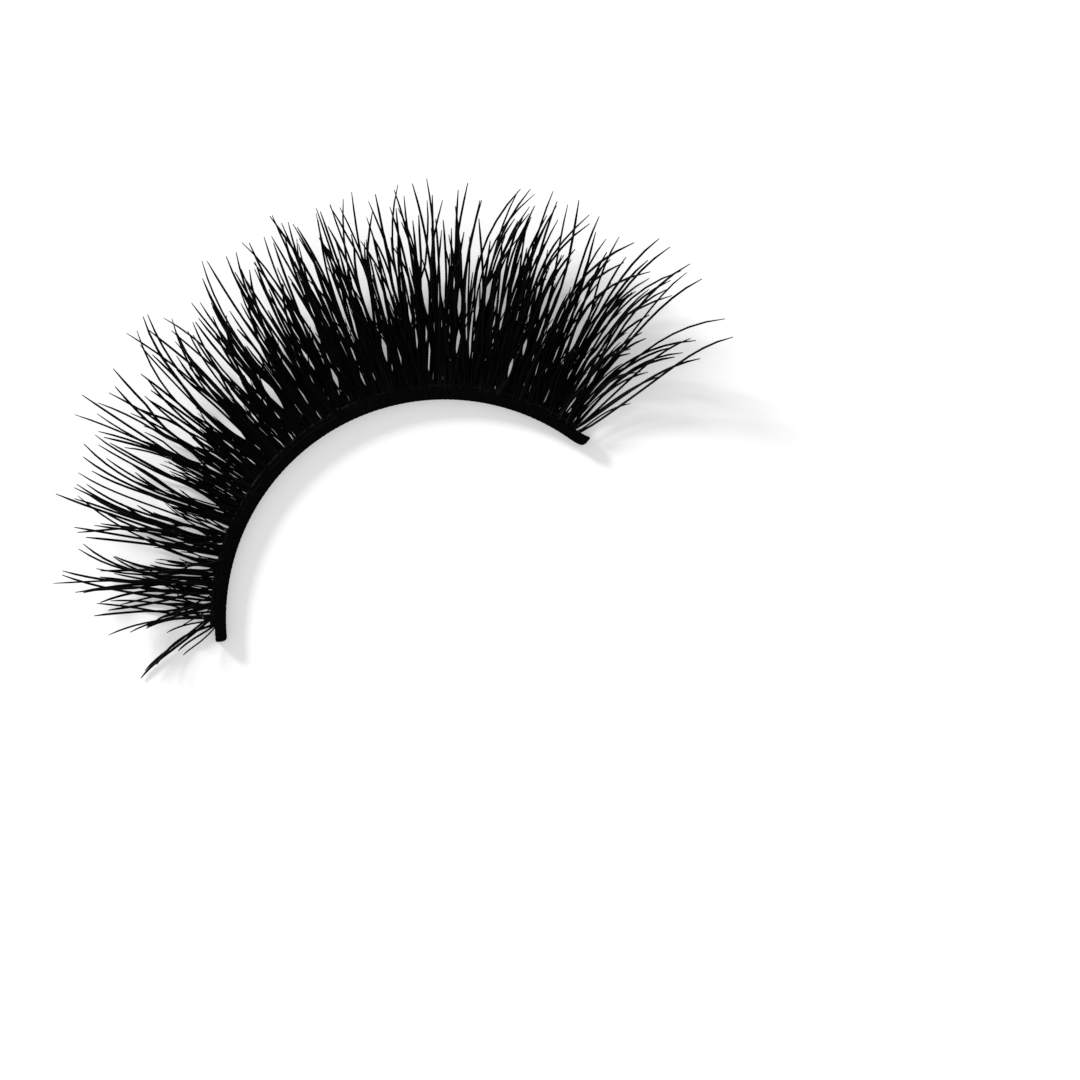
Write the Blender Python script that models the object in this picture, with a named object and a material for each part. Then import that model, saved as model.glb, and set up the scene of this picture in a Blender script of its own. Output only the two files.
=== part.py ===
# A strip of false eyelashes lying band down on a flat surface, with the lashes curling up.
# Metres, +Z up. The origin is on the band's underside, midway along it. The band is an arc
# about a centre on +Y, so the lashes fan out towards -Y and to both sides.
# Angles are in degrees about that centre: 0 is the middle of the strip, positive runs to
# +X, the inner corner of the eye, and negative to -X, the outer corner.

import math

import bmesh
import bpy
from mathutils import Vector

MM = 0.001

BAND_RADIUS = 14.0 * MM
BAND_ARC = 135.0
BAND_WIDTH = 0.70 * MM
BAND_HEIGHT = 0.80 * MM
BAND_CHAMFER = 0.14 * MM
BAND_STEPS = 54
TAIL_ROUND = 0.12 * MM

# Each row of lashes hangs from a thin root strip along the band's outer edge.
ROOT_DEPTH = 0.25 * MM
ROOT_HEIGHT = 0.20 * MM
PIECE_GAP = 0.04 * MM
FIRST_ROOT = 61.2
ROOT_SPACING = 4.85
LOCK_SHARE = 0.88
ROOT_INNER = BAND_RADIUS + BAND_WIDTH / 2 + PIECE_GAP
ROOT_OUTER = ROOT_INNER + ROOT_DEPTH
LOCK_HALF_ANGLE = ROOT_SPACING * LOCK_SHARE / 2
LOCK_ROOT_WIDTH = 2 * ROOT_OUTER * math.radians(LOCK_HALF_ANGLE)

LONGEST_LASH = 13.7 * MM
CURL_POWER = 1.7
LEAN_POWER = 1.3
SLOPE_STEP = 0.01

# How a lock's section changes on its way out: the share of its length, its width as a
# share of its root's, its thickness in mm, and its edges' thickness as a share of that.
LOCK_SECTIONS = (
    # along, width, thick_mm, edge
    (0.16, 1.00, 0.20, 0.55),
    (0.36, 0.86, 0.22, 0.45),
    (0.58, 0.64, 0.20, 0.45),
    (0.80, 0.36, 0.15, 0.45),
    (1.00, 0.08, 0.06, 0.60),
)

# Each row: its root strip's underside over the band's, the stretch that runs level before
# the curl, how far a full-length lash curls up, and how far the row is stepped along the
# band, as a share of the spacing. The lower row rests on the surface with the band.
ROWS = {
    # name: (root_mm, level_mm, curl_mm, step)
    "lash_row_lower": (0.02, 3.0, 3.2, 0.0),
    "lash_row_middle": (0.28, 2.0, 4.6, 1 / 3),
    "lash_row_upper": (0.54, 1.0, 6.0, 2 / 3),
}

# The locks of each row, from the inner corner to the outer one: where the tip ends up along
# the strip, and how far out it reaches from the band's inner edge, seen from above.
LOCK_TIPS = {
    # (tip_deg, reach_mm)
    "lash_row_lower": (
        (58.5, 8.1), (55.6, 10.3), (52.5, 9.3), (44.6, 11.7), (41.9, 10.8), (36.3, 10.9),
        (29.9, 12.8), (25.9, 11.4), (20.0, 12.8), (17.0, 12.7), (13.0, 11.9), (7.0, 13.1),
        (1.9, 12.5), (-3.2, 12.8), (-6.8, 12.8), (-11.5, 13.0), (-17.3, 13.4), (-22.9, 13.1),
        (-28.0, 13.6), (-32.8, 13.4), (-37.9, 13.3), (-43.0, 13.7), (-46.8, 13.6),
        (-53.5, 12.5), (-59.0, 13.3), (-64.7, 12.8),
    ),
    "lash_row_middle": (
        (70.5, 5.7), (60.5, 8.1), (54.3, 8.0), (49.0, 9.2), (43.0, 10.6), (37.5, 11.1),
        (32.7, 11.3), (27.2, 11.4), (22.8, 10.5), (17.9, 11.9), (12.0, 10.3), (8.4, 12.2),
        (3.8, 12.5), (-1.0, 12.5), (-6.2, 12.8), (-12.0, 12.2), (-14.9, 13.0), (-20.7, 13.3),
        (-25.9, 13.3), (-32.0, 11.9), (-37.7, 11.5), (-40.9, 12.5), (-45.4, 13.1),
        (-49.6, 13.0), (-56.8, 13.4), (-69.8, 11.8),
    ),
    "lash_row_upper": (
        (63.5, 7.2), (56.7, 10.5), (51.9, 9.4), (47.7, 9.9), (41.3, 10.0), (33.9, 9.7),
        (31.5, 12.3), (24.5, 11.9), (19.1, 12.6), (14.8, 11.3), (10.9, 11.3), (5.7, 12.7),
        (-0.3, 11.3), (-4.9, 13.3), (-8.3, 12.4), (-12.7, 12.8), (-19.0, 11.6), (-22.5, 12.5),
        (-29.7, 12.2), (-34.5, 12.2), (-39.0, 13.3), (-44.5, 12.0), (-49.2, 12.8),
        (-52.5, 12.2), (-61.5, 12.9), (-72.4, 11.3),
    ),
}


def clear_scene():
    for old in list(bpy.data.objects):
        bpy.data.objects.remove(old, do_unlink=True)


def material(name, color, roughness):
    made = bpy.data.materials.new(name)
    made.use_nodes = True
    shader = made.node_tree.nodes["Principled BSDF"]
    shader.inputs["Base Color"].default_value = (*color, 1.0)
    shader.inputs["Roughness"].default_value = roughness
    shader.inputs["Metallic"].default_value = 0.0
    made.diffuse_color = (*color, 1.0)
    return made


def on_arc(radius, degrees, height):
    """A point at this radius and angle about the arc's centre."""
    turn = math.radians(degrees)
    return Vector((radius * math.sin(turn), BAND_RADIUS - radius * math.cos(turn), height))


def skin(mesh, rings):
    """Faces between each ring of vertices and the next."""
    for ring, following in zip(rings, rings[1:]):
        for i in range(len(ring)):
            j = (i + 1) % len(ring)
            mesh.faces.new((ring[i], ring[j], following[j], following[i]))


def finished(name, mesh, surface):
    bmesh.ops.recalc_face_normals(mesh, faces=mesh.faces)
    data = bpy.data.meshes.new(name)
    mesh.to_mesh(data)
    mesh.free()
    data.materials.append(surface)
    data.shade_smooth()
    data.set_sharp_from_angle(angle=math.radians(40))
    node = bpy.data.objects.new(name, data)
    bpy.context.scene.collection.objects.link(node)
    return node


def band_section(inset):
    """The band's cut end as (across, up) points, drawn in by inset but still on the surface."""
    half = BAND_WIDTH / 2 - inset
    top = BAND_HEIGHT - inset
    cut = BAND_CHAMFER
    return (
        (-half + cut, 0.0),
        (half - cut, 0.0),
        (half, cut),
        (half, top - cut),
        (half - cut, top),
        (-half + cut, top),
        (-half, top - cut),
        (-half, cut),
    )


def make_band(surface):
    mesh = bmesh.new()
    round_angle = math.degrees(TAIL_ROUND / BAND_RADIUS)
    body_half = BAND_ARC / 2 - round_angle
    stations = [(-BAND_ARC / 2, TAIL_ROUND)]
    for step in range(BAND_STEPS + 1):
        stations.append((body_half * (2 * step / BAND_STEPS - 1), 0.0))
    stations.append((BAND_ARC / 2, TAIL_ROUND))
    rings = []
    for degrees, inset in stations:
        ring = [
            mesh.verts.new(on_arc(BAND_RADIUS + across, degrees, up))
            for across, up in band_section(inset)
        ]
        rings.append(ring)
    skin(mesh, rings)
    mesh.faces.new(rings[0])
    mesh.faces.new(rings[-1])
    return finished("band", mesh, surface)


def root_ring(mesh, degrees, low):
    """Corners of the root strip at one angle: inner low, outer low, outer top, inner top."""
    top = low + ROOT_HEIGHT
    corners = ((ROOT_INNER, low), (ROOT_OUTER, low), (ROOT_OUTER, top), (ROOT_INNER, top))
    return [mesh.verts.new(on_arc(radius, degrees, height)) for radius, height in corners]


def lock_path(root, tip, reach, low, level, curl):
    """The middle line of one lock, as a function of the share of its length."""
    length = BAND_RADIUS - BAND_WIDTH / 2 + reach - ROOT_OUTER

    def at(share):
        radius = ROOT_OUTER + length * share
        degrees = root + (tip - root) * share**LEAN_POWER
        past_level = max(0.0, length * share - level) / (LONGEST_LASH - level)
        rise = curl * past_level**CURL_POWER
        return on_arc(radius, degrees, low + ROOT_HEIGHT / 2 + rise)

    return at


def lock_ring(mesh, path, along, half_width, half_thick, edge):
    """Six corners round the lock's middle line, in the order of its root's corners."""
    ahead = (path(along + SLOPE_STEP) - path(along - SLOPE_STEP)).normalized()
    aside = Vector((ahead.y, -ahead.x, 0.0)).normalized()
    over = aside.cross(ahead)
    if over.z < 0:
        over = -over
    middle = path(along)
    corners = (
        (-half_width, -half_thick * edge),
        (0.0, -half_thick),
        (half_width, -half_thick * edge),
        (half_width, half_thick * edge),
        (0.0, half_thick),
        (-half_width, half_thick * edge),
    )
    return [mesh.verts.new(middle + aside * across + over * up) for across, up in corners]


def make_lock(mesh, left, centre, right, path):
    """Skins one lock out of its opening in the root strip's outer side."""
    rings = [[left[1], centre[1], right[1], right[2], centre[2], left[2]]]
    for along, width, thick_mm, edge in LOCK_SECTIONS:
        half_width = LOCK_ROOT_WIDTH * width / 2
        rings.append(lock_ring(mesh, path, along, half_width, thick_mm * MM / 2, edge))
    skin(mesh, rings)
    mesh.faces.new(rings[-1])


def join_roots(mesh, first, second, open_side):
    """The root strip between two of its rings, left open where a lock grows from its outer side."""
    for i in range(4):
        j = (i + 1) % 4
        if i == 1 and open_side:
            continue
        mesh.faces.new((first[i], first[j], second[j], second[i]))


def make_row(name, surface):
    root_mm, level_mm, curl_mm, step = ROWS[name]
    low = root_mm * MM
    mesh = bmesh.new()
    previous = None
    for index, (tip, reach_mm) in enumerate(LOCK_TIPS[name]):
        root = FIRST_ROOT - ROOT_SPACING * (index + step)
        path = lock_path(root, tip, reach_mm * MM, low, level_mm * MM, curl_mm * MM)
        left = root_ring(mesh, root + LOCK_HALF_ANGLE, low)
        centre = root_ring(mesh, root, low)
        right = root_ring(mesh, root - LOCK_HALF_ANGLE, low)
        if previous:
            join_roots(mesh, previous, left, False)
        else:
            mesh.faces.new(left)
        join_roots(mesh, left, centre, True)
        join_roots(mesh, centre, right, True)
        make_lock(mesh, left, centre, right, path)
        previous = right
    mesh.faces.new(previous)
    return finished(name, mesh, surface)


def main():
    clear_scene()
    cotton = material("cotton_band", (0.010, 0.010, 0.011), 0.75)
    fibre = material("lash_fibre", (0.008, 0.008, 0.009), 0.45)
    make_band(cotton)
    for name in ROWS:
        make_row(name, fibre)


main()
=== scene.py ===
import math
from functools import partial

import bmesh
import bpy
import numpy as np
from mathutils import Matrix, Vector


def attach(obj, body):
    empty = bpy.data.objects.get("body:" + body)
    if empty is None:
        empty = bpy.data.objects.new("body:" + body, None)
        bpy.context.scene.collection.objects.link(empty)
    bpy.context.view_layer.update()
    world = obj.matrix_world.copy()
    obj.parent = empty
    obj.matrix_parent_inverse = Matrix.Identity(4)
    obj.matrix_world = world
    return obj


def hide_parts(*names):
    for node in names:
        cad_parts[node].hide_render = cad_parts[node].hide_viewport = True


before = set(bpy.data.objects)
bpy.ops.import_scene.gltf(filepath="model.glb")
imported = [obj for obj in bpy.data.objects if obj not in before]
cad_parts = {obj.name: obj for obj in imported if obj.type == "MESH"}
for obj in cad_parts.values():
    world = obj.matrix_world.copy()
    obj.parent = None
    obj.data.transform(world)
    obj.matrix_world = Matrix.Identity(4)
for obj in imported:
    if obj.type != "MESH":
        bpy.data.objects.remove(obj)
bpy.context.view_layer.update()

mm = 0.001

# What both the band and the lashes are laid out from, as in the solids.
strip = {
    "arcRadius": 14.0 * mm,  # centreline of the band
    "arcDegrees": 135.0,
    "bandWidth": 0.70 * mm,
    "bandHeight": 0.80 * mm,
    "rootGap": 0.04 * mm,  # band to root strip
    "rootDepth": 0.25 * mm,
    "rootHeight": 0.20 * mm,
}
bandInner = strip["arcRadius"] - strip["bandWidth"] / 2
bandOuter = strip["arcRadius"] + strip["bandWidth"] / 2
rootInner = bandOuter + strip["rootGap"]
rootOuter = rootInner + strip["rootDepth"]


def onArc(radius, degrees, height):
    turn = math.radians(degrees)
    return Vector((radius * math.sin(turn), strip["arcRadius"] - radius * math.cos(turn), height))


# Node trees: a node with its settings, and a link or a plain value into each input.
def addNode(tree, kind, inputs=(), **settings):
    node = tree.nodes.new(kind)
    for key, value in settings.items():
        setattr(node, key, value)
    pairs = inputs.items() if isinstance(inputs, dict) else enumerate(inputs)
    for key, value in pairs:
        if value is None:
            continue
        if isinstance(value, bpy.types.NodeSocket):
            tree.links.new(value, node.inputs[key])
        else:
            node.inputs[key].default_value = value
    return node


def calc(tree, operation, *values):
    return addNode(tree, "ShaderNodeMath", values, operation=operation).outputs[0]


def tidyNodes(tree):
    for place, node in enumerate(tree.nodes):
        node.location = (220 * (place // 8), -190 * (place % 8))


# Shader group: fine strands or twisted thread running along U, as streaks to colour and to raise.
def strandGroup():
    group = bpy.data.node_groups.new("fineStrands", "ShaderNodeTree")
    for name, kind, value in (
        ("Across", "NodeSocketFloat", 90.0),
        ("Along", "NodeSocketFloat", 6.0),
        ("Contrast", "NodeSocketFloat", 1.0),
    ):
        group.interface.new_socket(name, in_out="INPUT", socket_type=kind).default_value = value
    group.interface.new_socket("Streaks", in_out="OUTPUT", socket_type="NodeSocketFloat")
    given = group.nodes.new("NodeGroupInput")
    uv = addNode(group, "ShaderNodeUVMap", uv_map="strands")
    parts = addNode(group, "ShaderNodeSeparateXYZ", (uv.outputs[0],))
    spread = addNode(
        group,
        "ShaderNodeCombineXYZ",
        (
            calc(group, "MULTIPLY", parts.outputs[0], given.outputs["Along"]),
            calc(group, "MULTIPLY", parts.outputs[1], given.outputs["Across"]),
            0.0,
        ),
    )
    grain = addNode(
        group,
        "ShaderNodeTexNoise",
        {"Vector": spread.outputs[0], "Scale": 1.0, "Detail": 3.0, "Roughness": 0.6},
    )
    lifted = calc(group, "SUBTRACT", grain.outputs[0], 0.5)
    scaled = calc(group, "MULTIPLY", lifted, given.outputs["Contrast"])
    result = calc(group, "ADD", scaled, 0.5)
    out = group.nodes.new("NodeGroupOutput")
    group.links.new(result, out.inputs["Streaks"])
    tidyNodes(group)
    return group


fineStrands = strandGroup()


def newMaterial(name):
    made = bpy.data.materials.new(name)
    made.use_nodes = True
    tree = made.node_tree
    return made, tree, tree.nodes["Principled BSDF"]


def ramp(tree, factor, stops):
    node = addNode(tree, "ShaderNodeValToRGB", (factor,))
    while len(node.color_ramp.elements) < len(stops):
        node.color_ramp.elements.new(0.5)
    for element, (place, color) in zip(node.color_ramp.elements, stops):
        element.position = place
        element.color = (*color, 1.0)
    return node.outputs[0]


# The streaks at the scale of one surface.
def streaksOf(tree, look):
    node = addNode(tree, "ShaderNodeGroup", node_tree=fineStrands)
    for name in ("Across", "Along", "Contrast"):
        node.inputs[name].default_value = look["streaks"][name]
    return node.outputs[0]


# Colour, roughness, bump and gloss from a surface's own settings.
def finishSurface(tree, shader, look, shade, wear, height):
    stops = ((look["darkAt"], look["dark"]), (look["lightAt"], look["light"]))
    tree.links.new(ramp(tree, shade, stops), shader.inputs["Base Color"])
    rough = addNode(
        tree,
        "ShaderNodeMapRange",
        {
            "Value": wear,
            "From Min": look["wearLow"],
            "From Max": look["wearHigh"],
            "To Min": look["roughLow"],
            "To Max": look["roughHigh"],
        },
    )
    tree.links.new(rough.outputs[0], shader.inputs["Roughness"])
    bump = addNode(
        tree,
        "ShaderNodeBump",
        {"Strength": look["bump"], "Distance": look["bumpDepth"], "Height": height},
    )
    tree.links.new(bump.outputs[0], shader.inputs["Normal"])
    shader.inputs["Specular IOR Level"].default_value = look["specular"]
    tidyNodes(tree)


lashLook = {
    "dark": (0.0003, 0.0002, 0.0003),
    "light": (0.0030, 0.0026, 0.0031),
    "darkAt": 0.1,
    "lightAt": 0.75,
    "wearLow": 0.0,
    "wearHigh": 1.0,
    "roughLow": 0.38,
    "roughHigh": 0.60,
    "specular": 0.035,
    "bump": 0.25,
    "bumpDepth": 0.01 * mm,
    "streaks": {"Across": 14.0, "Along": 30.0, "Contrast": 1.3},
}


def makeLashMaterial():
    made, tree, shader = newMaterial("lashFibreBlack")
    tint = addNode(tree, "ShaderNodeAttribute", attribute_name="fibreTint").outputs["Fac"]
    streaks = streaksOf(tree, lashLook)
    shade = calc(tree, "MULTIPLY", tint, streaks)
    finishSurface(tree, shader, lashLook, shade, streaks, streaks)
    return made


cottonLook = {
    "dark": (0.0003, 0.0002, 0.0003),
    "light": (0.0014, 0.0010, 0.0014),
    "darkAt": 0.3,
    "lightAt": 0.8,
    "wearLow": 0.35,
    "wearHigh": 0.65,
    "roughLow": 0.50,
    "roughHigh": 0.80,
    "specular": 0.01,
    "bump": 0.5,
    "bumpDepth": 0.02 * mm,
    "streaks": {"Across": 26.0, "Along": 420.0, "Contrast": 1.4},
    "glueScale": 1400.0,
    "glueDetail": 2.0,
}


def makeCottonMaterial():
    made, tree, shader = newMaterial("cottonBandBlack")
    twist = streaksOf(tree, cottonLook)
    place = addNode(tree, "ShaderNodeTexCoord").outputs["Object"]
    glue = addNode(
        tree,
        "ShaderNodeTexNoise",
        {"Vector": place, "Scale": cottonLook["glueScale"], "Detail": cottonLook["glueDetail"]},
    ).outputs[0]
    finishSurface(tree, shader, cottonLook, twist, glue, twist)
    return made


lashBlack = makeLashMaterial()
cottonBlack = makeCottonMaterial()
print("materials made")


# Faces from each ring of vertices to the next, with U along the strip and V around it.
def skinRings(mesh, rings):
    uv = mesh.loops.layers.uv.new("strands")
    along = len(rings) - 1
    around = len(rings[0])
    for number, (first, second) in enumerate(zip(rings, rings[1:])):
        start, end = number / along, (number + 1) / along
        for i in range(around):
            j = (i + 1) % around
            face = mesh.faces.new((first[i], first[j], second[j], second[i]))
            low, high = i / around, (i + 1) / around
            corners = ((start, low), (start, high), (end, high), (end, low))
            for loop, place in zip(face.loops, corners):
                loop[uv].uv = place
    mesh.faces.new(rings[0])
    mesh.faces.new(rings[-1])
    bmesh.ops.recalc_face_normals(mesh, faces=mesh.faces)
    for face in mesh.faces:
        face.smooth = True


# The cotton band: a twisted cord with a flat underside, a groove beside its inner edge,
# and a bare tail at each end.
band = {
    "stations": 460,
    "around": 28,
    "endCrowding": 0.15,  # how much closer the stations stand towards the tails
    "cornerRadius": 0.16 * mm,
    "grooveAcross": -0.16 * mm,  # from the centreline, towards the inside of the arc
    "grooveWidth": 0.05 * mm,
    "grooveDepth": 0.035 * mm,
    "topShare": 0.7,  # of the height, above which the groove is cut
    "flatBelow": 0.02 * mm,  # no twist under this height, where the band rests
    "twistDepth": 0.006 * mm,
    "twistPitch": 0.34 * mm,
    "innerRound": 0.26 * mm,  # how the tails' inner corners are rounded
    "outerRound": 0.08 * mm,
    "flare": 0.16 * mm,  # the outer-corner tail bends out this far
    "flareLength": 0.9 * mm,
}


def bandOutline(count):
    half = strip["bandWidth"] / 2
    top = strip["bandHeight"]
    corner = band["cornerRadius"]
    centres = (
        (half - corner, corner, -90.0),
        (half - corner, top - corner, 0.0),
        (-half + corner, top - corner, 90.0),
        (-half + corner, corner, 180.0),
    )
    steps = count // 4
    points = []
    for across, up, start in centres:
        for step in range(steps):
            turn = math.radians(start + 90.0 * step / (steps - 1))
            points.append((across + corner * math.cos(turn), up + corner * math.sin(turn)))
    return points


def cornerInset(fromEnd, radius):
    if fromEnd >= radius:
        return 0.0
    return radius - math.sqrt(max(0.0, radius**2 - (radius - fromEnd) ** 2))


def bandPoint(across, up, degrees, around):
    half = strip["bandWidth"] / 2
    halfArc = strip["arcDegrees"] / 2
    fromEnd = math.radians(halfArc - abs(degrees)) * strip["arcRadius"]
    inner = -half + cornerInset(fromEnd, band["innerRound"])
    outer = half - cornerInset(fromEnd, band["outerRound"])
    share = (across + half) / (2 * half)
    placed = inner + (outer - inner) * share
    along = math.radians(degrees) * strip["arcRadius"]
    if degrees < 0:
        bend = max(0.0, 1.0 - fromEnd / band["flareLength"])
        placed += band["flare"] * bend**2
    height = up
    if up > strip["bandHeight"] * band["topShare"]:
        off = (across - band["grooveAcross"]) / band["grooveWidth"]
        height -= band["grooveDepth"] * math.exp(-off * off)
    if up > band["flatBelow"]:
        wave = math.sin(2 * math.pi * (along / band["twistPitch"] + around))
        height += band["twistDepth"] * wave * (up / strip["bandHeight"])
        placed += band["twistDepth"] * wave * (1 if across > 0 else -1)
    return onArc(strip["arcRadius"] + placed, degrees, max(0.0, height))


def makeBand():
    outline = bandOutline(band["around"])
    halfArc = strip["arcDegrees"] / 2
    crowding = band["endCrowding"]
    mesh = bmesh.new()
    rings = []
    for station in range(band["stations"] + 1):
        share = station / band["stations"]
        crowded = halfArc * math.sin(math.pi * (share - 0.5)) * crowding
        degrees = crowded + halfArc * (2 * share - 1) * (1 - crowding)
        ring = []
        for index, (across, up) in enumerate(outline):
            around = index / len(outline)
            ring.append(mesh.verts.new(bandPoint(across, up, degrees, around)))
        rings.append(ring)
    skinRings(mesh, rings)
    data = bpy.data.meshes.new("cottonBand")
    mesh.to_mesh(data)
    mesh.free()
    data.materials.append(cottonBlack)
    piece = bpy.data.objects.new("cottonBand", data)
    bpy.context.scene.collection.objects.link(piece)
    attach(piece, "root")
    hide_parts("band")


makeBand()
print("band made")


# The lash rows. Each lock of the chart is a few long tufts and some short undergrowth, and
# each tuft a few fibres that start side by side, cross over and part again at the tips.
lashes = {
    "firstRoot": 61.2,  # degrees along the band, as in the solids
    "rootSpacing": 4.85,
    "longTufts": 3,  # in each lock
    "shortTufts": 4,
    "fibresPerTuft": 3,
    "pointsPerFibre": 13,
    "sides": 5,
    "rootBury": 0.04 * mm,  # how far inside the band's edge the fibres start
    "rootFill": 0.42,  # of the root strip's height, up and down from its middle
    "bareTail": 4.2,  # degrees of the band without lash roots at each end
    "rootLean": (0.22, 0.04),  # how much of a lock's lean its roots share: inwards, outwards
    # lengths
    "longest": 13.7 * mm,
    "stretch": 1.0,  # of the solid locks' reach
    "shortest": 0.42,  # of the lock's own length
    "lengthPower": 0.8,  # below 1 for more long fibres than short ones
    "reachLoss": 0.08,  # the most that a tuft falls short of its lock
    "undergrowth": 0.52,  # of a long fibre's length
    # thickness
    "fibreRadius": 0.083 * mm,
    "shortRadius": 0.66,  # of a long fibre's
    "thinnest": 0.80,
    "thickest": 1.14,
    "evenTaper": 0.10,
    "tipTaper": 0.55,
    "tipTaperPower": 18.0,  # high, so that a lash keeps its width until close to its tip
    # seen from the side
    "curlPower": 1.7,
    "leastCurl": 0.88,
    "mostCurl": 1.12,
    "offFloor": 1.1,  # the least height of a lash's middle, in its own radii
    "fluff": 0.55 * mm,  # how far tufts lie above and below each other at their tips
    "ownFluff": 0.6,  # a fibre's share beside its tuft's
    # seen from above: how a lash leans from its root to its tip
    "leanPower": 0.95,
    "straighten": 8.0,  # how soon a strong lean makes a lash run straight from its root
    "mostStraightened": 0.18,
    "sweepPower": 3.0,
    # how tufts and fibres spread, in degrees
    "tuftSpread": 1.2,
    "fibreSpread": 0.7,
    "shortSpread": 7.0,
    "rootSpread": 0.5,  # of a lock's half width, between the fibres of one tuft
    "gatherPower": 1.2,  # how fast a tuft's fibres close up past their roots
    "partPower": 1.15,  # and part again
    # how they bend, in degrees
    "bow": 1.6,
    "ownBow": 0.35,
    "hook": 2.0,
    "hookPower": 4.0,
    "tuftHook": 0.25,
    "ownHook": 0.2,
    # how far a few fibres stray, and the power that keeps them few
    "partStrays": (2.2, 5.0),
    "bowStrays": (1.2, 7.0),
    "hookStrays": (1.6, 9.0),
}

# How full the fringe is along the band: degrees, share of the fibres kept.
fullness = (
    (-64.0, 0.62), (-57.0, 0.78), (-49.0, 1.0), (-30.0, 0.98), (-10.0, 0.89), (10.0, 0.72),
    (30.0, 0.45), (62.0, 0.32),
)
# The same for the short fibres close to the band.
shortFullness = ((-64.0, 0.1), (-59.0, 0.4), (-54.0, 1.0), (18.0, 1.0), (34.0, 0.6), (62.0, 0.1))
# How far the lashes are swept round towards the outer corner at their tips, in degrees.
sweep = ((-64.0, -5.0), (-40.0, -3.0), (-15.0, -1.0), (5.0, 0.0), (64.0, 0.0))
# Which way the tips hook round: degrees, share of the hook, below 0 to the outer corner.
tipHooks = (
    (-64.0, -0.8), (-54.0, -0.7), (-48.0, 0.5), (-38.0, -0.3), (-32.0, 0.7), (-15.0, 0.6),
    (-5.0, 0.0), (5.0, -0.6), (20.0, -0.5), (31.0, 0.5), (37.0, -0.7), (50.0, -0.8),
    (60.0, 0.3), (66.0, 0.8),
)

# The openings that show between clusters, which the fibres bend round.
openingShape = {
    "width": 1.25,  # of the charted half widths, for the fibres' own thickness
    "lensPower": 0.8,
    "sideSoftness": 0.0006,  # radians either side of the middle where the push dies out
    "edgeSoftness": 0.03,
    "tipSoftness": 0.02,
}
openings = (
    # degrees along the strip, from and to in mm from the band's inner edge, half width in degrees
    (59.4, 2.8, 5.3, 0.6),
    (57.0, 1.3, 2.2, 0.35),
    (55.2, 3.1, 5.0, 0.5),
    (49.8, 1.3, 2.6, 0.5),
    (50.0, 4.4, 6.9, 0.4),
    (47.5, 2.0, 3.4, 0.5),
    (42.6, 1.9, 4.1, 0.9),
    (41.1, 4.4, 6.3, 0.4),
    (35.3, 1.5, 6.6, 1.0),
    (28.9, 4.1, 7.2, 0.8),
    (26.5, 4.4, 8.4, 0.8),
    (22.5, 1.4, 2.2, 0.4),
    (19.4, 2.8, 8.4, 1.15),
    (12.6, 4.4, 9.1, 0.6),
    (9.1, 2.7, 5.6, 0.9),
    (7.1, 5.6, 8.1, 0.4),
    (0.0, 5.0, 8.8, 0.5),
    (-4.1, 2.1, 3.5, 0.6),
    (-5.8, 5.3, 6.9, 0.4),
    (-9.5, 3.1, 4.7, 0.4),
    (-9.8, 1.5, 2.8, 0.5),
    (-13.4, 3.1, 5.6, 0.5),
    (-14.9, 5.0, 10.0, 0.7),
    (-16.0, 2.3, 4.5, 0.7),
    (-17.2, 1.5, 2.6, 0.6),
    (-20.1, 6.3, 8.8, 0.4),
    (-22.7, 2.9, 5.0, 0.4),
    (-25.0, 5.3, 8.4, 0.7),
    (-31.2, 4.7, 6.9, 0.6),
    (-31.3, 2.3, 4.8, 0.8),
    (-36.2, 5.9, 7.8, 0.6),
    (-36.5, 1.3, 2.1, 0.5),
    (-43.2, 1.3, 3.3, 0.6),
    (-44.9, 3.2, 4.7, 0.5),
    (-46.2, 5.3, 8.4, 0.5),
    (-53.6, 4.1, 8.4, 0.6),
    (-57.6, 2.2, 5.3, 0.4),
    (-59.6, 5.6, 8.8, 0.35),
    (-62.1, 1.9, 6.2, 0.35),
)

# name: (root strip's underside, level stretch and full curl in mm, step along the band, seed)
rows = {
    "lower": (0.02, 3.0, 3.2, 0.0, 11),
    "middle": (0.28, 2.0, 4.6, 1 / 3, 23),
    "upper": (0.54, 1.0, 6.0, 2 / 3, 37),
}

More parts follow.
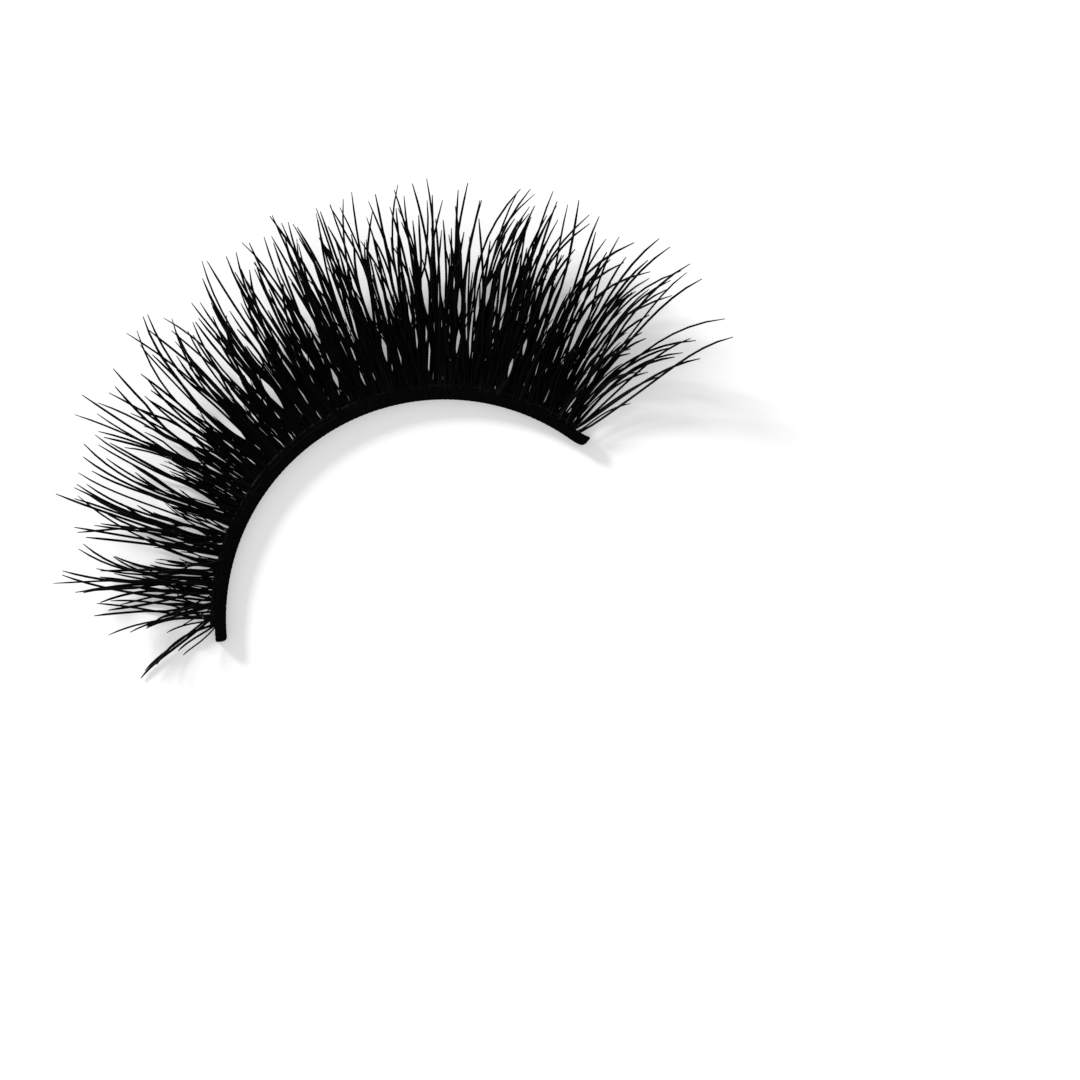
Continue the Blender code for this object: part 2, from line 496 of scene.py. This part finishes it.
# Where each lock's tip ends up, from the inner corner to the outer: degrees along the
# strip, and millimetres out from the band's inner edge.
lockTips = {
    "lower": (
        (58.5, 8.1), (55.6, 10.3), (52.5, 9.3), (44.6, 11.7), (41.9, 10.8), (36.3, 10.9),
        (29.9, 12.8), (25.9, 11.4), (20.0, 12.8), (17.0, 12.7), (13.0, 11.9), (7.0, 13.1),
        (1.9, 12.5), (-3.2, 12.8), (-6.8, 12.8), (-11.5, 13.0), (-17.3, 13.4), (-22.9, 13.1),
        (-28.0, 13.6), (-32.8, 13.4), (-37.9, 13.3), (-43.0, 13.7), (-46.8, 13.6),
        (-53.5, 12.5), (-59.0, 13.3), (-64.7, 12.8),
    ),
    "middle": (
        (70.5, 5.7), (60.5, 8.1), (54.3, 8.0), (49.0, 9.2), (43.0, 10.6), (37.5, 11.1),
        (32.7, 11.3), (27.2, 11.4), (22.8, 10.5), (17.9, 11.9), (12.0, 10.3), (8.4, 12.2),
        (3.8, 12.5), (-1.0, 12.5), (-6.2, 12.8), (-12.0, 12.2), (-14.9, 13.0), (-20.7, 13.3),
        (-25.9, 13.3), (-32.0, 11.9), (-37.7, 11.5), (-40.9, 12.5), (-45.4, 13.1),
        (-49.6, 13.0), (-56.8, 13.4), (-69.8, 11.8),
    ),
    "upper": (
        (63.5, 7.2), (56.7, 10.5), (51.9, 9.4), (47.7, 9.9), (41.3, 10.0), (33.9, 9.7),
        (31.5, 12.3), (24.5, 11.9), (19.1, 12.6), (14.8, 11.3), (10.9, 11.3), (5.7, 12.7),
        (-0.3, 11.3), (-4.9, 13.3), (-8.3, 12.4), (-12.7, 12.8), (-19.0, 11.6), (-22.5, 12.5),
        (-29.7, 12.2), (-34.5, 12.2), (-39.0, 13.3), (-44.5, 12.0), (-49.2, 12.8),
        (-52.5, 12.2), (-61.5, 12.9), (-72.4, 11.3),
    ),
}


def lockChart(name):
    step = rows[name][3]
    roots, tips, reaches, kept, keptShort, swept, hooks = [], [], [], [], [], [], []
    for index, (tip, reach) in enumerate(lockTips[name]):
        root = lashes["firstRoot"] - lashes["rootSpacing"] * (index + step)
        inwards, outwards = lashes["rootLean"]
        leant = root + (tip - root) * (inwards if tip > root else outwards)
        roots.append(math.radians(leant))
        kept.append(float(np.interp(root, *zip(*fullness))))
        keptShort.append(float(np.interp(root, *zip(*shortFullness))))
        swept.append(math.radians(float(np.interp(root, *zip(*sweep)))))
        hooks.append(float(np.interp(tip, *zip(*tipHooks))))
        tips.append(math.radians(tip))
        reaches.append(bandInner + reach * mm)
    data = bpy.data.meshes.new(name + "Chart")
    data.from_pydata([(0.0, 0.0, 0.0)] * len(roots), [], [])
    charted = {
        "rootAngle": roots,
        "tipAngle": tips,
        "tipRadius": reaches,
        "kept": kept,
        "keptShort": keptShort,
        "swept": swept,
        "tipHook": hooks,
    }
    for attribute, values in charted.items():
        data.attributes.new(attribute, "FLOAT", "POINT").data.foreach_set("value", values)
    return data


# Geometry Nodes for one row: chart points to tufts, tufts to fibres, fibres to thin tubes.
rowInputs = (
    ("Root radius", "NodeSocketFloat", bandOuter - lashes["rootBury"]),
    ("Root height", "NodeSocketFloat", strip["rootHeight"] / 2),
    ("Root half height", "NodeSocketFloat", strip["rootHeight"] * lashes["rootFill"]),
    ("Root half angle", "NodeSocketFloat", math.radians(lashes["rootSpacing"] / 2)),
    ("Level stretch", "NodeSocketFloat", rows["lower"][1] * mm),
    ("Curl", "NodeSocketFloat", rows["lower"][2] * mm),
    ("Longest lash", "NodeSocketFloat", lashes["longest"]),
    ("Stretch", "NodeSocketFloat", lashes["stretch"]),
    ("Long tufts", "NodeSocketInt", lashes["longTufts"]),
    ("Short tufts", "NodeSocketInt", lashes["shortTufts"]),
    ("Fibres per tuft", "NodeSocketInt", lashes["fibresPerTuft"]),
    ("Points per fibre", "NodeSocketInt", lashes["pointsPerFibre"]),
    ("Sides", "NodeSocketInt", lashes["sides"]),
    ("Shortest", "NodeSocketFloat", lashes["shortest"]),
    ("Undergrowth", "NodeSocketFloat", lashes["undergrowth"]),
    ("Fibre radius", "NodeSocketFloat", lashes["fibreRadius"]),
    ("Tuft spread", "NodeSocketFloat", math.radians(lashes["tuftSpread"])),
    ("Fibre spread", "NodeSocketFloat", math.radians(lashes["fibreSpread"])),
    ("Short spread", "NodeSocketFloat", math.radians(lashes["shortSpread"])),
    ("Bow", "NodeSocketFloat", math.radians(lashes["bow"])),
    ("Hook", "NodeSocketFloat", math.radians(lashes["hook"])),
    ("Fluff", "NodeSocketFloat", lashes["fluff"]),
    ("Seed", "NodeSocketInt", 1),
    ("Material", "NodeSocketMaterial", None),
)


# A number in a node tree, so that the formulas below read as plain arithmetic.
class Number:
    def __init__(self, tree, socket):
        self.tree = tree
        self.socket = socket

    def apply(self, operation, *values):
        plain = [v.socket if isinstance(v, Number) else v for v in values]
        return Number(self.tree, calc(self.tree, operation, *plain))

    def __add__(self, other):
        return self.apply("ADD", self, other)

    def __sub__(self, other):
        return self.apply("SUBTRACT", self, other)

    def __rsub__(self, other):
        return self.apply("SUBTRACT", other, self)

    def __mul__(self, other):
        return self.apply("MULTIPLY", self, other)

    def __rmul__(self, other):
        return self.apply("MULTIPLY", other, self)

    def __truediv__(self, other):
        return self.apply("DIVIDE", self, other)

    def __pow__(self, other):
        return self.apply("POWER", self, other)

    def atLeast(self, other):
        return self.apply("MAXIMUM", self, other)

    def atMost(self, other):
        return self.apply("MINIMUM", self, other)

    def above(self, other):
        return self.apply("GREATER_THAN", self, other)

    def size(self):
        return self.apply("ABSOLUTE", self)

    def sine(self):
        return self.apply("SINE", self)

    def cosine(self):
        return self.apply("COSINE", self)


def storedNumber(tree, name):
    node = addNode(tree, "GeometryNodeInputNamedAttribute", data_type="FLOAT")
    node.inputs["Name"].default_value = name
    return Number(tree, node.outputs["Attribute"])


# The angle at which a fibre lies, a given share of its lock's length out from the band.
def lane(tree, share):
    stored = partial(storedNumber, tree)
    factor = (share / stored("ownLength")).atMost(1.0)
    leaning = stored("turned") * share ** stored("leanPower")
    gathered = stored("apart") * (1.0 - share) ** lashes["gatherPower"]
    fanned = gathered + stored("parting") * share ** lashes["partPower"]
    bowed = stored("bowing") * (factor * math.pi).sine()
    hooked = stored("hooking") * factor ** lashes["hookPower"]
    swept = stored("sweeping") * (factor ** lashes["sweepPower"] - factor)
    return stored("tuftRoot") + leaning + fanned + bowed + hooked + swept


# How far one opening pushes a fibre aside: out to a lens, pointed at both ends, on the
# side where the fibre would have passed its middle.
def openingGroup():
    tree = bpy.data.node_groups.new("openingPush", "GeometryNodeTree")
    for name in ("Angle", "Radius", "Root radius", "Middle", "From", "To", "Half width"):
        tree.interface.new_socket(name, in_out="INPUT", socket_type="NodeSocketFloat")
    tree.interface.new_socket("Push", in_out="OUTPUT", socket_type="NodeSocketFloat")
    sockets = tree.nodes.new("NodeGroupInput").outputs
    angle, radius, rootRadius, middle, low, high, half = [Number(tree, s) for s in sockets[:7]]
    halfway = (low + high) * 0.5 - rootRadius
    passing = lane(tree, (halfway / storedNumber(tree, "tuftReach")).atMost(1.0)) - middle
    side = passing / (passing.size() + openingShape["sideSoftness"])
    along = (radius - low) / (high - low)
    lens = (along.atLeast(0.0).atMost(1.0) * math.pi).sine() ** openingShape["lensPower"] * half
    near = (angle - middle) * side
    gap = near - lens
    softened = gap * gap + half * half * openingShape["edgeSoftness"]
    outside = (softened**0.5 + near + lens) * 0.5
    inReach = lens / (lens + half * openingShape["tipSoftness"])
    push = (outside - near) * side * inReach
    out = tree.nodes.new("NodeGroupOutput")
    tree.links.new(push.socket, out.inputs[0])
    tidyNodes(tree)
    return tree


openingPush = openingGroup()


def lashRowTree():
    tree = bpy.data.node_groups.new("lashRow", "GeometryNodeTree")
    tree.interface.new_socket("Geometry", in_out="INPUT", socket_type="NodeSocketGeometry")
    for name, kind, value in rowInputs:
        socket = tree.interface.new_socket(name, in_out="INPUT", socket_type=kind)
        if value is not None:
            socket.default_value = value
    tree.interface.new_socket("Geometry", in_out="OUTPUT", socket_type="NodeSocketGeometry")
    sockets = tree.nodes.new("NodeGroupInput").outputs

    def given(name):
        return Number(tree, sockets[name])

    def stored(name):
        return storedNumber(tree, name)

    def store(geometry, name, value):
        node = addNode(tree, "GeometryNodeStoreNamedAttribute", data_type="FLOAT", domain="POINT")
        tree.links.new(geometry, node.inputs["Geometry"])
        node.inputs["Name"].default_value = name
        tree.links.new(value.socket, node.inputs["Value"])
        return node.outputs[0]

    def chance(stream, low=-1.0, high=1.0):
        node = addNode(tree, "FunctionNodeRandomValue", data_type="FLOAT")
        node.inputs[2].default_value = low
        node.inputs[3].default_value = high
        tree.links.new((given("Seed") + float(stream)).socket, node.inputs["Seed"])
        return Number(tree, node.outputs[1])

    def strayed(base, name, most, power):
        return base + most * stored(name) ** power

    def copies(geometry, amount):
        node = addNode(tree, "GeometryNodeDuplicateElements", domain="POINT")
        tree.links.new(geometry, node.inputs["Geometry"])
        tree.links.new(amount.socket, node.inputs["Amount"])
        return node.outputs["Geometry"], Number(tree, node.outputs["Duplicate Index"])

    # chart points to tufts; the first tuft of each lock keeps the charted tip
    geometry = addNode(tree, "GeometryNodeMeshToPoints", {"Mesh": sockets["Geometry"]}).outputs[0]
    geometry, tuftNumber = copies(geometry, given("Long tufts") + given("Short tufts"))
    isShort = tuftNumber.above(given("Long tufts") - 0.5)
    isFree = tuftNumber.atMost(1.0)
    rootShift = chance(1) * given("Root half angle")
    spread = given("Tuft spread") * isFree * (1.0 - isShort) + given("Short spread") * isShort
    reach = (stored("tipRadius") - given("Root radius")) * given("Stretch")
    reach = reach * (1.0 - chance(3, 0.0, lashes["reachLoss"]) * isFree)
    lastRoot = math.radians(strip["arcDegrees"] / 2 - lashes["bareTail"])
    tuftRoot = (stored("rootAngle") + rootShift).atLeast(-lastRoot).atMost(lastRoot)
    geometry = store(geometry, "tuftRoot", tuftRoot)
    geometry = store(geometry, "tuftTip", stored("tipAngle") + chance(2) * spread)
    geometry = store(geometry, "tuftReach", reach)
    geometry = store(geometry, "tuftLift", chance(4))
    geometry = store(geometry, "tuftBow", chance(5))
    geometry = store(geometry, "tuftHook", chance(6))
    geometry = store(geometry, "tuftNumber", tuftNumber)
    geometry = store(geometry, "isShort", isShort)

    # tufts to fibres, each with its own place in the tuft
    geometry, fibreNumber = copies(geometry, given("Fibres per tuft"))
    isCharted = 1.0 - (stored("tuftNumber") + fibreNumber).atMost(1.0)
    drawn = chance(20, 0.0, 1.0) ** lashes["lengthPower"]
    ownLength = given("Shortest") + (1.0 - given("Shortest")) * drawn
    ownLength = ownLength + (1.0 - ownLength) * isCharted
    ownLength = ownLength * (1.0 - stored("isShort") * (1.0 - given("Undergrowth")))
    geometry = store(geometry, "ownLength", ownLength)
    geometry = store(geometry, "isCharted", isCharted)
    names = ("across", "lift", "part", "bow", "hook", "tintRandom")
    for stream, name in enumerate(names, 11):
        geometry = store(geometry, name, chance(stream))
    geometry = store(geometry, "thickness", chance(22, lashes["thinnest"], lashes["thickest"]))
    geometry = store(geometry, "curlShare", chance(23, lashes["leastCurl"], lashes["mostCurl"]))
    turned = stored("tuftTip") - stored("tuftRoot")
    straighter = (turned * turned * lashes["straighten"]).atMost(lashes["mostStraightened"])
    parting = strayed(stored("part"), "part", *lashes["partStrays"])
    parting = parting * given("Fibre spread") * (1.0 - stored("isCharted"))
    bowing = stored("tuftBow") + stored("bow") * lashes["ownBow"]
    bowing = strayed(bowing, "bow", *lashes["bowStrays"])
    hooking = stored("tipHook") + stored("tuftHook") * lashes["tuftHook"]
    hooking = hooking + stored("hook") * lashes["ownHook"]
    hooking = strayed(hooking, "hook", *lashes["hookStrays"])
    apart = stored("across") * given("Root half angle") * lashes["rootSpread"]
    geometry = store(geometry, "turned", turned)
    geometry = store(geometry, "leanPower", lashes["leanPower"] - straighter)
    geometry = store(geometry, "apart", apart)
    geometry = store(geometry, "parting", parting)
    geometry = store(geometry, "bowing", bowing * given("Bow") * stored("ownLength") ** 2.0)
    geometry = store(geometry, "hooking", hooking * given("Hook") * stored("ownLength"))
    geometry = store(geometry, "sweeping", stored("swept") * stored("ownLength"))
    line = addNode(tree, "GeometryNodeCurvePrimitiveLine").outputs[0]
    line = addNode(
        tree, "GeometryNodeResampleCurve", {"Curve": line, "Count": sockets["Points per fibre"]}
    ).outputs[0]
    isShort = stored("isShort")
    keptShare = stored("kept") * (1.0 - isShort) + stored("keptShort") * isShort
    isKept = (keptShare + isCharted).above(chance(25, 0.0, 1.0))
    placed = addNode(
        tree,
        "GeometryNodeInstanceOnPoints",
        {"Points": geometry, "Selection": isKept.socket, "Instance": line},
    )
    strands = addNode(tree, "GeometryNodeRealizeInstances", {"Geometry": placed.outputs[0]})

    # where a fibre runs, seen from above, bent aside round each opening
    factor = Number(tree, addNode(tree, "GeometryNodeSplineParameter").outputs["Factor"])
    share = factor * stored("ownLength")
    travelled = stored("tuftReach") * share
    radius = given("Root radius") + travelled
    angle = lane(tree, share)
    pushed = Number(tree, 0.0)
    for middle, low, high, half in openings:
        placing = {
            "Angle": angle.socket,
            "Radius": radius.socket,
            "Root radius": sockets["Root radius"],
            "Middle": math.radians(middle),
            "From": bandInner + low * mm,
            "To": bandInner + high * mm,
            "Half width": math.radians(half * openingShape["width"]),
        }
        push = addNode(tree, "GeometryNodeGroup", node_tree=openingPush)
        for key, value in placing.items():
            if isinstance(value, float):
                push.inputs[key].default_value = value
            else:
                tree.links.new(value, push.inputs[key])
        pushed = pushed + Number(tree, push.outputs[0])
    angle = angle + pushed

    # and seen from the side: level, then curling up
    pastLevel = (travelled - given("Level stretch")).atLeast(0.0)
    curled = (pastLevel / (given("Longest lash") - given("Level stretch"))) ** lashes["curlPower"]
    rise = curled * given("Curl") * stored("curlShare")
    inRoot = stored("lift") * given("Root half height") * (1.0 - share)
    fluffed = (stored("tuftLift") + stored("lift") * lashes["ownFluff"]) * given("Fluff") * share**2.0
    tufted = stored("isShort") * (stored("lift") + 1.0) * given("Fluff") * factor
    height = given("Root height") + rise + inRoot + fluffed + tufted
    height = height.atLeast(given("Fibre radius") * lashes["offFloor"])
    east = radius * angle.sine()
    north = strip["arcRadius"] - radius * angle.cosine()
    spot = addNode(tree, "ShaderNodeCombineXYZ", (east.socket, north.socket, height.socket))
    strands = addNode(
        tree,
        "GeometryNodeSetPosition",
        {"Geometry": strands.outputs[0], "Position": spot.outputs[0]},
    ).outputs[0]

    # tapered tubes, with what the material reads
    tipTaper = factor ** lashes["tipTaperPower"] * lashes["tipTaper"]
    taper = 1.0 - factor * lashes["evenTaper"] - tipTaper
    finer = 1.0 - stored("isShort") * (1.0 - lashes["shortRadius"])
    thickness = given("Fibre radius") * stored("thickness") * taper * finer
    strands = store(strands, "alongLash", factor)
    strands = store(strands, "fibreTint", stored("tintRandom") * 0.5 + 0.5)
    ring = addNode(
        tree, "GeometryNodeCurvePrimitiveCircle", {"Resolution": sockets["Sides"], "Radius": 1.0}
    ).outputs[0]
    around = Number(tree, addNode(tree, "GeometryNodeSplineParameter").outputs["Factor"])
    ring = store(ring, "aroundLash", around)
    tubes = addNode(
        tree,
        "GeometryNodeCurveToMesh",
        {"Curve": strands, "Profile Curve": ring, "Scale": thickness.socket, "Fill Caps": True},
    ).outputs[0]
    smooth = addNode(tree, "GeometryNodeSetShadeSmooth", {"Geometry": tubes, "Shade Smooth": True})
    whole = addNode(tree, "GeometryNodeRealizeInstances", {"Geometry": smooth.outputs[0]})
    surfaced = addNode(
        tree,
        "GeometryNodeSetMaterial",
        {"Geometry": whole.outputs[0], "Material": sockets["Material"]},
    )
    out = tree.nodes.new("NodeGroupOutput")
    tree.links.new(surfaced.outputs[0], out.inputs[0])
    tidyNodes(tree)
    return tree


# The thread that ties a row on: a rounded strip with a knot at every fibre root.
thread = {
    "stations": 520,
    "around": 10,
    "knotPitch": 0.30 * mm,
    "knotDepth": 0.12,  # of the strip's own size
    "overlap": 0.6,  # of the gap to the band, which it grows into
    "pastRoots": 0.44,  # of the spacing, past the first and last lock
    "endSize": 0.6,
    "squareness": 4,  # 2 would make its section an ellipse
}


def makeThread(low):
    half = strip["rootDepth"] / 2 + strip["rootGap"] * thread["overlap"]
    tall = strip["rootHeight"] / 2
    middle = rootOuter - half
    start = lashes["firstRoot"] + lashes["rootSpacing"] * thread["pastRoots"]
    power = thread["squareness"]
    mesh = bmesh.new()
    rings = []
    for station in range(thread["stations"] + 1):
        share = station / thread["stations"]
        degrees = start * (1 - 2 * share)
        along = math.radians(degrees) * middle
        ring = []
        for step in range(thread["around"]):
            turn = 2 * math.pi * step / thread["around"]
            wave = math.sin(2 * math.pi * along / thread["knotPitch"] + turn)
            size = 1.0 - thread["knotDepth"] * (1.0 + wave) / 2
            if station in (0, thread["stations"]):
                size *= thread["endSize"]
            bulge = abs(math.cos(turn)) ** power + abs(math.sin(turn)) ** power
            square = 1.0 / bulge ** (1 / power)
            across = half * size * square * math.cos(turn)
            up = tall * size * square * math.sin(turn)
            ring.append(mesh.verts.new(onArc(middle + across, degrees, low + tall + up)))
        rings.append(ring)
    skinRings(mesh, rings)
    return mesh


def addThread(data, low):
    mesh = makeThread(low)
    extra = bpy.data.meshes.new("thread")
    mesh.to_mesh(extra)
    mesh.free()
    whole = bmesh.new()
    whole.from_mesh(data)
    whole.from_mesh(extra)
    whole.to_mesh(data)
    whole.free()
    bpy.data.meshes.remove(extra)


def plainMesh(piece, name):
    graph = bpy.context.evaluated_depsgraph_get()
    data = bpy.data.meshes.new_from_object(piece.evaluated_get(graph))
    data.name = name
    piece.modifiers.clear()
    piece.data = data
    return data


def strandUv(data):
    along = [0.0] * len(data.vertices)
    around = [0.0] * len(data.vertices)
    data.attributes["alongLash"].data.foreach_get("value", along)
    data.attributes["aroundLash"].data.foreach_get("value", around)
    layer = data.uv_layers.new(name="strands")
    for loop, corner in zip(data.loops, layer.data):
        corner.uv = (along[loop.vertex_index], around[loop.vertex_index])


rowTree = lashRowTree()


def setInputs(modifier, tree, values):
    for item in tree.interface.items_tree:
        if item.item_type == "SOCKET" and item.in_out == "INPUT" and item.name in values:
            modifier[item.identifier] = values[item.name]


def makeRow(name):
    low, level, curl, _, seed = rows[name]
    piece = bpy.data.objects.new(name + "Lashes", lockChart(name))
    bpy.context.scene.collection.objects.link(piece)
    modifier = piece.modifiers.new("lashRow", "NODES")
    modifier.node_group = rowTree
    setInputs(
        modifier,
        rowTree,
        {
            "Root height": low * mm + strip["rootHeight"] / 2,
            "Level stretch": level * mm,
            "Curl": curl * mm,
            "Seed": seed,
            "Material": lashBlack,
        },
    )
    data = plainMesh(piece, name + "Lashes")
    strandUv(data)
    addThread(data, low * mm)
    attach(piece, "root")
    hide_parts("lash_row_" + name)
    print(name, "row made,", len(data.polygons), "faces")


for rowName in rows:
    makeRow(rowName)


# The floor, the light and the camera. The strip lies in the photograph as it does here.
photo = {
    "side": 1080,
    "pixel": 0.0625 * mm,
    "arcCentre": (444.7, 618.1),
    "bandMiddle": 118.5,  # degrees, from the arc's centre to the band's middle, anticlockwise
    "lens": 180.0,
    "sensor": 36.0,
    "nearClip": 0.01,
}
light = {
    "floorHalf": 1.5,
    "floorColor": (0.48, 0.48, 0.48),
    "floorRough": 0.9,
    "floorSpecular": 0.1,
    "floorGlow": 0.35,  # a light table, so that the shadows stay pale
    "skyStrength": 0.86,
    "keyAngle": 135.5,  # degrees anticlockwise in the photograph: from the upper left
    "keyHeight": 19.2,
    "keyDistance": 1.6,
    "keySize": 0.36,
    "keyPower": 58.0,
}


def photoTurn():
    return math.radians(-90.0 - photo["bandMiddle"])


def fromPhoto(east, north):
    turn = photoTurn()
    return Vector(
        (
            east * math.cos(turn) - north * math.sin(turn),
            east * math.sin(turn) + north * math.cos(turn),
            0.0,
        )
    )


def makeCamera():
    half = photo["side"] / 2
    toCentre = fromPhoto(half - photo["arcCentre"][0], photo["arcCentre"][1] - half) * photo["pixel"]
    target = Vector((0.0, strip["arcRadius"], 0.0)) + toCentre
    distance = photo["side"] * photo["pixel"] * photo["lens"] / photo["sensor"]
    data = bpy.data.cameras.new("photoCamera")
    data.lens = photo["lens"]
    data.sensor_width = photo["sensor"]
    data.clip_start = photo["nearClip"]
    camera = bpy.data.objects.new("photoCamera", data)
    above = Matrix.Translation(target + Vector((0, 0, distance)))
    camera.matrix_world = above @ Matrix.Rotation(photoTurn(), 4, "Z")
    bpy.context.scene.collection.objects.link(camera)
    bpy.context.scene.camera = camera
    return target


def makeFloor():
    data = bpy.data.meshes.new("paleFloor")
    half = light["floorHalf"]
    corners = [(-half, -half, 0), (half, -half, 0), (half, half, 0), (-half, half, 0)]
    data.from_pydata(corners, [], [(0, 1, 2, 3)])
    made, tree, shader = newMaterial("paleFloor")
    shader.inputs["Base Color"].default_value = (*light["floorColor"], 1.0)
    shader.inputs["Emission Color"].default_value = (1.0, 1.0, 1.0, 1.0)
    shader.inputs["Emission Strength"].default_value = light["floorGlow"]
    shader.inputs["Roughness"].default_value = light["floorRough"]
    shader.inputs["Specular IOR Level"].default_value = light["floorSpecular"]
    data.materials.append(made)
    floor = bpy.data.objects.new("paleFloor", data)
    bpy.context.scene.collection.objects.link(floor)


def makeLights(target):
    world = bpy.data.worlds.new("softSky")
    world.use_nodes = True
    sky = world.node_tree.nodes["Background"]
    sky.inputs["Color"].default_value = (1.0, 1.0, 1.0, 1.0)
    sky.inputs["Strength"].default_value = light["skyStrength"]
    bpy.context.scene.world = world
    turn = math.radians(light["keyAngle"])
    rise = math.radians(light["keyHeight"])
    out = fromPhoto(math.cos(turn), math.sin(turn)) * math.cos(rise) + Vector((0, 0, math.sin(rise)))
    data = bpy.data.lights.new("softKey", "AREA")
    data.shape = "DISK"
    data.size = light["keySize"]
    data.energy = light["keyPower"]
    key = bpy.data.objects.new("softKey", data)
    key.location = target + out * light["keyDistance"]
    key.rotation_mode = "QUATERNION"
    key.rotation_quaternion = out.to_track_quat("Z", "Y")
    bpy.context.scene.collection.objects.link(key)


makeFloor()
makeLights(makeCamera())
bpy.context.scene.view_settings.view_transform = "Standard"
print("floor, light and camera made")
